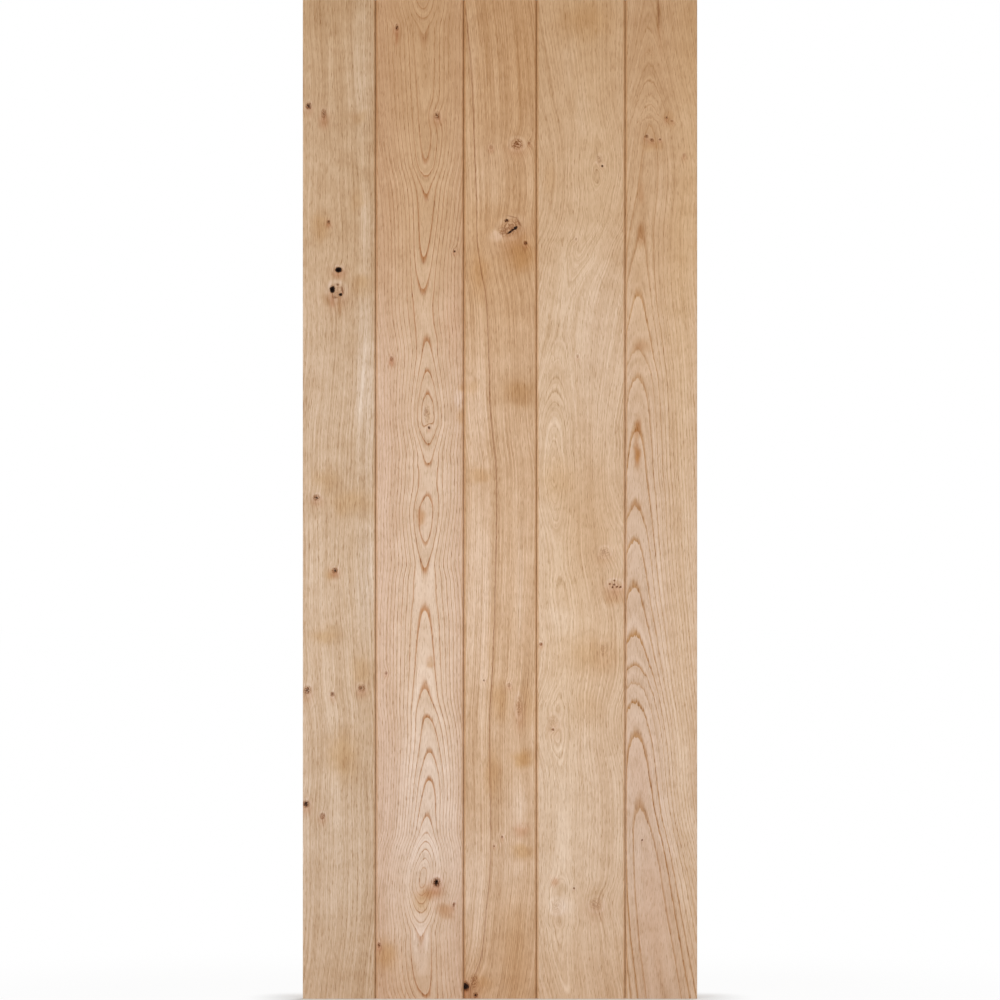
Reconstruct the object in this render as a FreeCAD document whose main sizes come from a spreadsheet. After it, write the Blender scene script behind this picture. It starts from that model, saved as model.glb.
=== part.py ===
"""Ledged and braced oak door leaf: tongued and grooved boards held by three ledges and two notched braces.

Millimetres. X runs from the hinge edge to the latch edge, Y from the board side to the ledge side, Z up.
The origin is at the foot of the hinge edge, in the middle of the boards' thickness.
"""

import FreeCAD
import Part
import Sketcher

import os

# The boards from the hinge edge to the latch edge.
BOARDS = ["hinge_board", "inner_hinge_board", "centre_board", "inner_latch_board", "latch_board"]

# The driving dimensions. A board's width is what it covers, from joint to joint, and the latch board
# takes what the others leave of the leaf's width.
SIZES = {
    "leaf_height": 1930,
    "leaf_width": 762,
    "hinge_board_width": 141,
    "inner_hinge_board_width": 170,
    "centre_board_width": 141,
    "inner_latch_board_width": 171,
    "board_thickness": 20,
    "board_gap": 0.6,
    "joint_chamfer": 2.5,
    "outer_arris": 1,
    "tongue_thickness": 6,
    "tongue_length": 8,
    "tongue_side_play": 0.2,
    "tongue_end_play": 1,
    "ledge_width": 140,
    "ledge_thickness": 20,
    "ledge_chamfer": 6,
    "ledge_setback": 25,
    "top_ledge_drop": 160,
    "bottom_ledge_rise": 180,
    "brace_width": 120,
    "brace_chamfer": 6,
    "heel_setback": 45,
    "notch_depth": 30,
    "notch_play": 0.2,
}

# What follows from the driving dimensions. Each ledge is placed by its lower edge, and the middle one
# stands halfway between the others. A brace climbs from a heel on the ledge below, near the hinge edge,
# to a heel on the ledge above, near the latch edge, and its ends are cut square there.
LAYOUT = {
    "LatchBoardWidth": " - ".join(["Sizes.leaf_width"] + [f"Sizes.{board}_width" for board in BOARDS[:-1]]),
    "LedgeLength": "Sizes.leaf_width - 2 * Sizes.ledge_setback",
    "BottomLedgeFoot": "Sizes.bottom_ledge_rise",
    "TopLedgeFoot": "Sizes.leaf_height - Sizes.top_ledge_drop - Sizes.ledge_width",
    "MiddleLedgeFoot": "(.TopLedgeFoot + .BottomLedgeFoot) / 2",
    "BraceRun": ".LedgeLength - 2 * Sizes.heel_setback",
    "BraceRise": ".MiddleLedgeFoot - .BottomLedgeFoot - Sizes.ledge_width",
    "BraceSlope": "atan2(.BraceRise; .BraceRun) + asin(Sizes.brace_width / hypot(.BraceRun; .BraceRise))",
    "BraceLength": ".BraceRun * cos(.BraceSlope) + .BraceRise * sin(.BraceSlope)",
    "NotchShoulder": "Sizes.notch_depth / cos(.BraceSlope)",
    "NotchReach": "Sizes.notch_depth * tan(.BraceSlope)",
    "NotchMouth": "Sizes.brace_width / sin(.BraceSlope)",
    "ToeRun": "Sizes.brace_width / tan(.BraceSlope)",
    "ToeRise": "Sizes.brace_width - .NotchShoulder",
    "ToeEasing": "1 + Sizes.notch_play * hypot(1 / .ToeRun; 1 / .ToeRise)",
}


def make_size_sheet(doc):
    """Puts the driving dimensions into a spreadsheet, one named cell each."""
    sheet = doc.addObject("Spreadsheet::Sheet", "Sizes")
    for row, (name, value) in enumerate(SIZES.items(), start=1):
        sheet.set(f"A{row}", name)
        sheet.set(f"B{row}", str(value))
        sheet.setAlias(f"B{row}", name)
    doc.recompute()


def make_layout(doc):
    """Works out the shared places and slopes from the spreadsheet."""
    layout = doc.addObject("App::VarSet", "Layout")
    for name, expression in LAYOUT.items():
        layout.addProperty("App::PropertyFloat", name, "Layout")
        layout.setExpression(name, expression)
        doc.recompute()


def make_body(doc, label, place):
    """Starts a sub-part whose placement follows the three expressions in place."""
    body = doc.addObject("PartDesign::Body", label)
    body.Label = label
    for axis, expression in zip("xyz", place):
        body.setExpression(f"Placement.Base.{axis}", expression)
    return body


def make_outline(body, name, plane, corners):
    """Draws a closed outline on an origin plane, each corner held by a pair of expressions."""
    doc = body.Document
    sketch = body.newObject("Sketcher::SketchObject", name)
    support = next(feature for feature in body.Origin.OriginFeatures if feature.Role == plane)
    sketch.AttachmentSupport = [(support, "")]
    sketch.MapMode = "FlatFace"
    points = []
    for x, y in corners:
        at_x = float(doc.Sizes.evalExpression(x))
        at_y = float(doc.Sizes.evalExpression(y))
        points.append(FreeCAD.Vector(at_x, at_y, 0))
    for start, end in zip(points, points[1:] + points[:1]):
        sketch.addGeometry(Part.LineSegment(start, end), False)
    for line, (corner, point) in enumerate(zip(corners, points)):
        following = (line + 1) % len(points)
        sketch.addConstraint(Sketcher.Constraint("Coincident", line, 2, following, 1))
        for kind, expression, value in zip(("DistanceX", "DistanceY"), corner, point):
            index = sketch.addConstraint(Sketcher.Constraint(kind, -1, 1, line, 1, value))
            sketch.setExpression(f"Constraints[{index}]", expression)
    return sketch


def rectangle(width, height):
    """The corners of a rectangle that starts at the sketch's origin."""
    return [("0", "0"), (width, "0"), (width, height), ("0", height)]


def make_pad(body, name, outline, length, reverse):
    """Thickens an outline by an expression's length."""
    pad = body.newObject("PartDesign::Pad", name)
    pad.Profile = outline
    pad.setExpression("Length", length)
    pad.Reversed = reverse
    body.Document.recompute()
    return pad


def make_chamfer(body, name, base, size, wanted):
    """Chamfers the edges of a feature that the wanted function picks."""
    chamfer = body.newObject("PartDesign::Chamfer", name)
    edges = [f"Edge{number}" for number, edge in enumerate(base.Shape.Edges, start=1) if wanted(edge)]
    chamfer.Base = (base, edges)
    chamfer.setExpression("Size", size)
    body.Document.recompute()
    return chamfer


def make_cut(body, name, outline):
    """Cuts an outline on the XZ plane through a sub-part, and makes sure that it removed wood."""
    body.Document.recompute()
    volume_before = body.Shape.Volume
    pocket = body.newObject("PartDesign::Pocket", name)
    pocket.Profile = outline
    pocket.Type = "ThroughAll"
    pocket.Reversed = False
    body.Document.recompute()
    if not body.Shape.Volume < volume_before:
        raise RuntimeError(f"{name} cut nothing from {body.Label}")
    return pocket


def cover_width(number):
    """What a board covers, from joint to joint."""
    if number == len(BOARDS) - 1:
        return "Layout.LatchBoardWidth"
    return f"Sizes.{BOARDS[number]}_width"


def board_section(number):
    """The section of a board, its board side at y 0: grooved on the hinge side, tongued on the latch side."""
    has_groove = number > 0
    has_tongue = number < len(BOARDS) - 1
    thickness = "Sizes.board_thickness"
    half_gaps = int(has_groove) + int(has_tongue)
    width = f"{cover_width(number)} - {half_gaps} * Sizes.board_gap / 2"
    left = "Sizes.joint_chamfer" if has_groove else "Sizes.outer_arris"
    right = "Sizes.joint_chamfer" if has_tongue else "Sizes.outer_arris"

    corners = [(left, "0"), (f"{width} - {right}", "0"), (width, right)]
    if has_tongue:
        front = f"({thickness} - Sizes.tongue_thickness) / 2"
        back = f"({thickness} + Sizes.tongue_thickness) / 2"
        tip = f"{width} + Sizes.tongue_length"
        corners += [(width, front), (tip, front), (tip, back), (width, back)]
    corners += [(width, f"{thickness} - {right}"), (f"{width} - {right}", thickness)]
    corners += [(left, thickness), ("0", f"{thickness} - {left}")]
    if has_groove:
        front = f"({thickness} - Sizes.tongue_thickness) / 2 - Sizes.tongue_side_play"
        back = f"({thickness} + Sizes.tongue_thickness) / 2 + Sizes.tongue_side_play"
        bottom = "Sizes.tongue_length + Sizes.tongue_end_play - Sizes.board_gap"
        corners += [("0", back), (bottom, back), (bottom, front), ("0", front)]
    corners.append(("0", left))
    return corners


def make_board(doc, number):
    """A full-height board, tongued and grooved into its neighbours, with chamfers that make the V joints."""
    covered = [cover_width(earlier) for earlier in range(number)]
    if number > 0:
        covered.append("Sizes.board_gap / 2")
    body = make_body(doc, BOARDS[number], [" + ".join(covered) or "0", "-Sizes.board_thickness / 2", "0"])
    outline = make_outline(body, f"{BOARDS[number]}_section", "XY_Plane", board_section(number))
    make_pad(body, f"{BOARDS[number]}_plank", outline, "Sizes.leaf_height", False)
    return body


def foot_notch():
    """The notch in a ledge's upper edge that takes a brace's foot, near the hinge end."""
    heel = "Sizes.heel_setback"
    top = "Sizes.ledge_width"
    return [
        (heel, top),
        (f"{heel} + Layout.NotchReach", f"{top} - Sizes.notch_depth"),
        (f"{heel} + Layout.NotchMouth", top),
    ]


def head_notch():
    """The notch in a ledge's lower edge that takes a brace's head, near the latch end."""
    heel = "Layout.LedgeLength - Sizes.heel_setback"
    return [
        (heel, "0"),
        (f"{heel} - Layout.NotchReach", "Sizes.notch_depth"),
        (f"{heel} - Layout.NotchMouth", "0"),
    ]


def make_ledge(doc, label, foot, notches):
    """A level ledge across the boards, chamfered all round its outer face and notched for the braces."""
    body = make_body(doc, label, ["Sizes.ledge_setback", "Sizes.board_thickness / 2", foot])
    corners = rectangle("Layout.LedgeLength", "Sizes.ledge_width")
    outline = make_outline(body, f"{label}_outline", "XZ_Plane", corners)
    plank = make_pad(body, f"{label}_plank", outline, "Sizes.ledge_thickness", True)
    outer = plank.Shape.BoundBox.YMax

    def on_outer_face(edge):
        return all(abs(vertex.Y - outer) < Part.Precision.confusion() for vertex in edge.Vertexes)

    make_chamfer(body, f"{label}_chamfer", plank, "Sizes.ledge_chamfer", on_outer_face)
    for name, corners in notches.items():
        make_cut(body, f"{label}_{name}", make_outline(body, f"{label}_{name}_outline", "XZ_Plane", corners))
    return body


def toe_cuts():
    """The two corners that come off a square-ended brace so that its ends fill their notches."""
    end = "Layout.BraceLength"
    side = "Sizes.brace_width"
    run = "Layout.ToeRun * Layout.ToeEasing"
    rise = "Layout.ToeRise * Layout.ToeEasing"
    foot = [("0", "0"), (run, "0"), ("0", rise)]
    head = [(end, side), (f"{end} - {run}", side), (end, f"{side} - {rise}")]
    return {"foot_toe": foot, "head_toe": head}


def make_brace(doc, label, ledge_foot):
    """A brace laid along its slope: square heels bear in the notches, and the toes are cut to the ledges."""
    heel_x = "Sizes.ledge_setback + Sizes.heel_setback"
    heel_z = f"{ledge_foot} + Sizes.ledge_width"
    place = [
        f"{heel_x} + Sizes.brace_width * sin(Layout.BraceSlope)",
        "Sizes.board_thickness / 2",
        f"{heel_z} - Sizes.brace_width * cos(Layout.BraceSlope)",
    ]
    body = make_body(doc, label, place)
    body.Placement.Rotation = FreeCAD.Rotation(FreeCAD.Vector(0, -1, 0), doc.Layout.BraceSlope)
    body.setExpression("Placement.Rotation.Angle", "Layout.BraceSlope")

    near = "Sizes.notch_play"
    far = "Layout.BraceLength - Sizes.notch_play"
    side = "Sizes.brace_width"
    blank = [(near, "0"), (far, "0"), (far, side), (near, side)]
    outline = make_outline(body, f"{label}_outline", "XZ_Plane", blank)
    plank = make_pad(body, f"{label}_plank", outline, "Sizes.ledge_thickness", True)
    outer = plank.Shape.BoundBox.YMax

    def on_long_outer_edge(edge):
        start, end = edge.Vertexes
        on_face = all(abs(vertex.Y - outer) < Part.Precision.confusion() for vertex in (start, end))
        return on_face and abs(start.Z - end.Z) < Part.Precision.confusion()

    make_chamfer(body, f"{label}_chamfer", plank, "Sizes.brace_chamfer", on_long_outer_edge)
    for name, corners in toe_cuts().items():
        make_cut(body, f"{label}_{name}", make_outline(body, f"{label}_{name}_outline", "XZ_Plane", corners))
    return body


def make_door(doc):
    """All the sub-parts: the boards, then the ledges, then the braces."""
    make_size_sheet(doc)
    make_layout(doc)
    parts = [make_board(doc, number) for number in range(len(BOARDS))]
    foot = {"foot_notch": foot_notch()}
    head = {"head_notch": head_notch()}
    parts.append(make_ledge(doc, "bottom_ledge", "Layout.BottomLedgeFoot", foot))
    parts.append(make_ledge(doc, "middle_ledge", "Layout.MiddleLedgeFoot", foot | head))
    parts.append(make_ledge(doc, "top_ledge", "Layout.TopLedgeFoot", head))
    parts.append(make_brace(doc, "lower_brace", "Layout.BottomLedgeFoot"))
    parts.append(make_brace(doc, "upper_brace", "Layout.MiddleLedgeFoot"))
    doc.recompute()
    return parts


def check_door(doc, parts):
    """Stops if any object failed or any sub-part isn't one sound solid."""
    for item in doc.Objects:
        if "Invalid" in item.State or "Error" in item.State:
            raise RuntimeError(f"{item.Name} failed: {item.State}")
    for part in parts:
        shape = part.Shape
        if shape.isNull() or not shape.isValid() or len(shape.Solids) != 1:
            raise RuntimeError(f"{part.Label} isn't one valid solid")


def write_parts(parts):
    """Writes each sub-part to its own STEP file, named by its label."""
    os.makedirs("parts", exist_ok=True)
    for part in parts:
        part.Shape.exportStep(f"parts/{part.Label}.step")


document = FreeCAD.newDocument("LedgedAndBracedDoor")
door_parts = make_door(document)
check_door(document, door_parts)
write_parts(door_parts)
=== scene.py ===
"""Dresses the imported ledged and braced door: planed oak boards in front, ledges and braces behind.

Meshes are in metres, in the part's own frame. Patterns work in millimetres of that frame, and places on
the board side are given as columns and rows of the 1000 by 1000 photograph.
"""

import logging
import math
from collections.abc import Sequence
from dataclasses import dataclass
from enum import Enum
from typing import Any, ClassVar

import bmesh
import bpy
from mathutils import Matrix, Vector, noise


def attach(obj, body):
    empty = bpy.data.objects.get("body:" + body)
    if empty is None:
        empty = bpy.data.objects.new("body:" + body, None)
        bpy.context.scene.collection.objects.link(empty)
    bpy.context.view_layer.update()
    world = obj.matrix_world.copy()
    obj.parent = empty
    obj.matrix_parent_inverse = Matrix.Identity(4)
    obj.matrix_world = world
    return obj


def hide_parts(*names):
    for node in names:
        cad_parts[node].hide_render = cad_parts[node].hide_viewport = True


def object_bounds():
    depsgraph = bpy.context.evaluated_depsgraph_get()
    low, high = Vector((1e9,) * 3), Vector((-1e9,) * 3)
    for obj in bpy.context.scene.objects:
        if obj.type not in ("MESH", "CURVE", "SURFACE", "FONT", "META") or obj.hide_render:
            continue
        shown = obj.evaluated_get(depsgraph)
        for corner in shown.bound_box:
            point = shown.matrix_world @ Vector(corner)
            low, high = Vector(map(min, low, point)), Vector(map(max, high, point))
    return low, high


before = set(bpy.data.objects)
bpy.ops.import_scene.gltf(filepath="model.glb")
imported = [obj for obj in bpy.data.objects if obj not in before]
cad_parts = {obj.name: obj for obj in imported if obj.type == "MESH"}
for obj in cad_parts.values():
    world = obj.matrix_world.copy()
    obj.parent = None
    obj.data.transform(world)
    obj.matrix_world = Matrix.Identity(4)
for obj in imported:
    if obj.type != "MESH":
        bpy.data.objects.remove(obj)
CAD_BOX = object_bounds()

LOG = logging.getLogger("door")

Colour = tuple[float, float, float, float]
Pairs = tuple[tuple[float, float], ...]
Socket = bpy.types.NodeSocket
Value = float | Sequence[float] | Socket

MM = 0.001
LEAF_LOW, LEAF_HIGH = CAD_BOX
LEAF_MIDDLE = (LEAF_LOW + LEAF_HIGH) / 2
LEAF_WIDTH = (LEAF_HIGH.x - LEAF_LOW.x) / MM
LEAF_HEIGHT = (LEAF_HIGH.z - LEAF_LOW.z) / MM
BOARD_FACE = LEAF_LOW.y / MM

# The photograph's side, and the rows that the leaf takes up in it.
PHOTO_SIDE = 1000
LEAF_ROWS = 999.0
LEAF_TOP_ROW = -0.3
MM_PER_PIXEL = LEAF_HEIGHT / LEAF_ROWS

# The joints across the leaf, the ledges' and braces' middles up it, and the braces' slope in degrees.
JOINTS = (141.0, 311.0, 452.0, 623.0)
LEDGES = {"bottom_ledge": 250.0, "middle_ledge": 975.0, "top_ledge": 1700.0}
BRACES = {"lower_brace": 612.5, "upper_brace": 1337.5}
BRACE_SLOPE = 51.32


def photo_x(column: float) -> float:
    """Where a column of the photograph lies across the leaf, in millimetres."""
    return LEAF_WIDTH / 2 + (column - PHOTO_SIDE / 2) * MM_PER_PIXEL


def photo_z(row: float) -> float:
    """Where a row of the photograph lies up the leaf, in millimetres."""
    return LEAF_HEIGHT - (row - LEAF_TOP_ROW) * MM_PER_PIXEL


def column_at(x: float) -> float:
    """The column of the photograph that a place across a timber would have."""
    return PHOTO_SIDE / 2 + (x - LEAF_WIDTH / 2) / MM_PER_PIXEL


def screen(red: int, green: int, blue: int) -> Colour:
    """Turns a screen colour, 0 to 255, into the linear colour that a socket takes.

    Args:
        red: Red from 0 to 255.
        green: Green from 0 to 255.
        blue: Blue from 0 to 255.

    Returns:
        The linear colour with full alpha.
    """

    def linear(value: int) -> float:
        """One channel of the colour, with the screen's curve taken out."""
        share = value / 255
        return share / 12.92 if share <= 0.04045 else ((share + 0.055) / 1.055) ** 2.4

    return linear(red), linear(green), linear(blue), 1.0


class SocketKind(Enum):
    """The kinds of socket that a node group takes or gives."""

    NUMBER = "NodeSocketFloat"
    POINT = "NodeSocketVector"
    COLOUR = "NodeSocketColor"


class Tint(Enum):
    """What a stain multiplies the wood's colour by."""

    AMBER = (0.84, 0.70, 0.48, 1.0)
    GOLD = (1.04, 1.0, 0.88, 1.0)
    BROWN = (0.76, 0.64, 0.47, 1.0)
    PALE = (1.12, 1.21, 1.36, 1.0)
    ROSE = (0.97, 0.90, 0.87, 1.0)
    RUST = (0.78, 0.57, 0.44, 1.0)
    RESIN = (0.71, 0.47, 0.24, 1.0)


class GrainRun(Enum):
    """The way that a timber's grain runs, as the turn about Y that brings it upright, in degrees."""

    UPRIGHT = 0.0
    LEVEL = -90.0
    SLOPING = BRACE_SLOPE - 90.0


class Graph:
    """Adds nodes to one node tree and links them."""

    def __init__(self, tree: bpy.types.NodeTree) -> None:
        """Keeps the tree that the nodes go into."""
        self.tree = tree

    def feed(self, socket: Socket, value: Value) -> None:
        """Links a socket to another one, or sets it to a plain value.

        Args:
            socket: The input to feed.
            value: The output that it is linked to, or its plain value.
        """
        if isinstance(value, bpy.types.NodeSocket):
            self.tree.links.new(value, socket)
        else:
            socket.default_value = value

    def add(
        self, kind: str, sockets: dict[str | int, Value] | None = None, **settings: Any
    ) -> bpy.types.Node:
        """Adds one node.

        Args:
            kind: The node's type name.
            sockets: What each input gets, by its name or number.
            **settings: The node's own properties.

        Returns:
            The new node.
        """
        node = self.tree.nodes.new(kind)
        for name, setting in settings.items():
            setattr(node, name, setting)
        for name, value in (sockets or {}).items():
            self.feed(node.inputs[name], value)
        return node

    def math(self, operation: str, *values: Value) -> Socket:
        """A Math node's result."""
        return self.add("ShaderNodeMath", dict(enumerate(values)), operation=operation).outputs[0]

    def plus(self, first: Value, second: Value) -> Socket:
        """The sum of two values."""
        return self.math("ADD", first, second)

    def minus(self, first: Value, second: Value) -> Socket:
        """The first value less the second."""
        return self.math("SUBTRACT", first, second)

    def times(self, first: Value, second: Value) -> Socket:
        """The product of two values."""
        return self.math("MULTIPLY", first, second)

    def over(self, first: Value, second: Value) -> Socket:
        """The first value divided by the second."""
        return self.math("DIVIDE", first, second)

    def slope(self, value: Value, gain: Value, start: Value) -> Socket:
        """A value times a gain, plus a start."""
        return self.math("MULTIPLY_ADD", value, gain, start)

    def squares(self, first: Value, second: Value) -> Socket:
        """The sum of two values' squares."""
        return self.plus(self.times(first, first), self.times(second, second))

    def vector(self, operation: str, *values: Value) -> Socket:
        """A Vector Math node's vector."""
        node = self.add("ShaderNodeVectorMath", dict(enumerate(values)), operation=operation)
        return node.outputs["Vector"]

    def parts(self, position: Value) -> tuple[Socket, Socket, Socket]:
        """The X, Y and Z of a vector."""
        return tuple(self.add("ShaderNodeSeparateXYZ", {0: position}).outputs)

    def point(self, x: Value, y: Value, z: Value) -> Socket:
        """A vector from its X, Y and Z."""
        return self.add("ShaderNodeCombineXYZ", {0: x, 1: y, 2: z}).outputs[0]

    def noise(self, position: Value, sizes: Sequence[float], detail: float = 2.0) -> Socket:
        """Smooth noise from 0 to 1.

        Args:
            position: Where it is read.
            sizes: How long its blotches are along X, Y and Z.
            detail: How many finer layers it has.

        Returns:
            The noise's value.
        """
        scaled = self.vector("DIVIDE", position, sizes)
        sockets = {"Vector": scaled, "Scale": 1.0, "Detail": detail}
        return self.add("ShaderNodeTexNoise", sockets).outputs[0]

    def swing(self, value: Value, reach: Value) -> Socket:
        """Turns a value from 0 to 1 into one from minus half of reach to plus half of it."""
        return self.times(self.minus(value, 0.5), reach)

    def smooth(
        self, value: Value, low: Value, high: Value, start: Value = 0.0, end: Value = 1.0
    ) -> Socket:
        """A smooth step of a value from start at low to end at high."""
        sockets = {"Value": value, "From Min": low, "From Max": high, "To Min": start, "To Max": end}
        return self.add("ShaderNodeMapRange", sockets, interpolation_type="SMOOTHSTEP").outputs[0]

    def mix(self, share: Value, first: Value, second: Value, blend: str = "MIX") -> Socket:
        """A mix of two colours."""
        sockets = {0: share, 6: first, 7: second}
        return self.add("ShaderNodeMix", sockets, data_type="RGBA", blend_type=blend).outputs[2]

    def curve(self, value: Value, points: Sequence[tuple[float, float]]) -> Socket:
        """A curve through points, read at a value.

        Args:
            value: Where the curve is read.
            points: The curve's points, as pairs of a place and a height, in any order.

        Returns:
            The curve's height there.
        """
        ordered = sorted(points)
        start, end = ordered[0][0], ordered[-1][0]
        low = min(height for _, height in ordered)
        rise = max(max(height for _, height in ordered) - low, 1e-6)
        share = self.over(self.minus(value, start), end - start)
        node = self.add("ShaderNodeFloatCurve", {"Value": share})
        line = node.mapping.curves[0]
        for index, (place, height) in enumerate(ordered):
            at = ((place - start) / (end - start), (height - low) / rise)
            if index in (0, len(ordered) - 1):
                knob = line.points[0 if index == 0 else -1]
                knob.location = at
            else:
                knob = line.points.new(*at)
            knob.handle_type = "AUTO_CLAMPED"
        node.mapping.update()
        return self.plus(self.times(node.outputs[0], rise), low)

    def ramp(self, value: Value, stops: Sequence[tuple[float, Colour]]) -> Socket:
        """A colour ramp's colour.

        Args:
            value: Where the ramp is read, from 0 to 1.
            stops: The ramp's places and colours.

        Returns:
            The colour there.
        """
        node = self.add("ShaderNodeValToRGB", {"Fac": value})
        elements = node.color_ramp.elements
        node.color_ramp.interpolation = "EASE"
        for index, (place, colour) in enumerate(stops):
            element = elements[index] if index < 2 else elements.new(place)
            element.position = place
            element.color = colour
        return node.outputs["Color"]


def numbers(*names: str) -> dict[str, SocketKind]:
    """Number sockets with these names."""
    return dict.fromkeys(names, SocketKind.NUMBER)


class ShaderGroup:
    """A shader node group that is built once and placed in each material that uses it."""

    title: ClassVar[str]
    takes: ClassVar[dict[str, SocketKind]]
    gives: ClassVar[dict[str, SocketKind]]

    @classmethod
    def wire(cls, graph: Graph, given: dict[str, Socket]) -> dict[str, Socket]:
        """Adds the group's own nodes.

        Args:
            graph: The group's tree.
            given: The group's inputs by name.

        Returns:
            What each output of the group shows.
        """
        raise NotImplementedError

    @classmethod
    def tree(cls) -> bpy.types.NodeTree:
        """Makes the group's node tree on first use.

        Returns:
            The tree, with its sockets and nodes.
        """
        tree = bpy.data.node_groups.get(cls.title)
        if tree is None:
            tree = bpy.data.node_groups.new(cls.title, "ShaderNodeTree")
            for name, kind in cls.takes.items():
                tree.interface.new_socket(name, in_out="INPUT", socket_type=kind.value)
            for name, kind in cls.gives.items():
                tree.interface.new_socket(name, in_out="OUTPUT", socket_type=kind.value)
            graph = Graph(tree)
            start = graph.add("NodeGroupInput")
            results = cls.wire(graph, {name: start.outputs[name] for name in cls.takes})
            graph.add("NodeGroupOutput", results)
        return tree

    @classmethod
    def place(cls, graph: Graph, sockets: dict[str, Value]) -> dict[str, Socket]:
        """Puts the group into a material.

        Args:
            graph: The material's tree.
            sockets: What each input of the group gets.

        Returns:
            The group's outputs by name.
        """
        node = graph.add("ShaderNodeGroup", sockets, node_tree=cls.tree())
        return {name: node.outputs[name] for name in cls.gives}


class FeatheredHeight(ShaderGroup):
    """The height along a timber, made uneven so that the arches of its rings get a flame-like edge."""

    title = "Feathered height"
    takes = {"Position": SocketKind.POINT} | numbers("Feather")
    gives = numbers("Height")
    jag_sizes = (4.6, 4.6, 26.0)
    jag_detail = 3.0

    @classmethod
    def wire(cls, graph: Graph, given: dict[str, Socket]) -> dict[str, Socket]:
        """Moves the height up and down by noise that is fine across the grain."""
        jag = graph.swing(graph.noise(given["Position"], cls.jag_sizes, cls.jag_detail), given["Feather"])
        return {"Height": graph.plus(graph.parts(given["Position"])[2], jag)}


class GrowthRings(ShaderGroup):
    """Counts the growth rings from the heart outwards in a timber whose grain runs along Z."""

    title = "Growth rings"
    takes = {"Position": SocketKind.POINT}
    takes |= numbers("Crown", "Depth", "Edge", "Bow", "Span", "Sway", "Curl")
    gives = numbers("Rings", "Flank")
    slow_sizes = (110.0, 110.0, 320.0)
    quick_sizes = (26.0, 26.0, 120.0)
    quick_share = 0.35
    curl_sizes = (48.0, 48.0, 17.0)
    detail = 1.0
    ring_depth = 6.0

    @classmethod
    def wire(cls, graph: Graph, given: dict[str, Socket]) -> dict[str, Socket]:
        """Bends the grain a little, then counts the rings from the crown to the edge count at the span.

        Args:
            graph: The group's tree.
            given: The group's inputs by name.

        Returns:
            The ring count, and the way out from the crown.
        """
        position = given["Position"]
        x, y, _ = graph.parts(position)
        slow = graph.swing(graph.noise(position, cls.slow_sizes, cls.detail), given["Sway"])
        quick = graph.swing(graph.noise(position, cls.quick_sizes, cls.detail), given["Sway"])
        curl = graph.swing(graph.noise(position, cls.curl_sizes, cls.detail), given["Curl"])
        bent = graph.plus(graph.plus(x, curl), graph.slope(quick, cls.quick_share, slow))
        flank = graph.math("ABSOLUTE", graph.minus(bent, given["Crown"]))
        rise, whole = (cls.arch(graph, way, given["Bow"]) for way in (flank, given["Span"]))
        beside = graph.minus(given["Edge"], given["Depth"])
        crossed = graph.slope(beside, graph.over(rise, whole), given["Depth"])
        inward = graph.over(graph.minus(y, BOARD_FACE), cls.ring_depth)
        return {"Rings": graph.plus(crossed, inward), "Flank": flank}

    @staticmethod
    def arch(graph: Graph, way: Socket, bow: Socket) -> Socket:
        """How far a round arch with a bow rises over the way out from its crown."""
        radius = graph.math("SQRT", graph.slope(way, way, graph.times(bow, bow)))
        return graph.minus(radius, bow)


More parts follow.
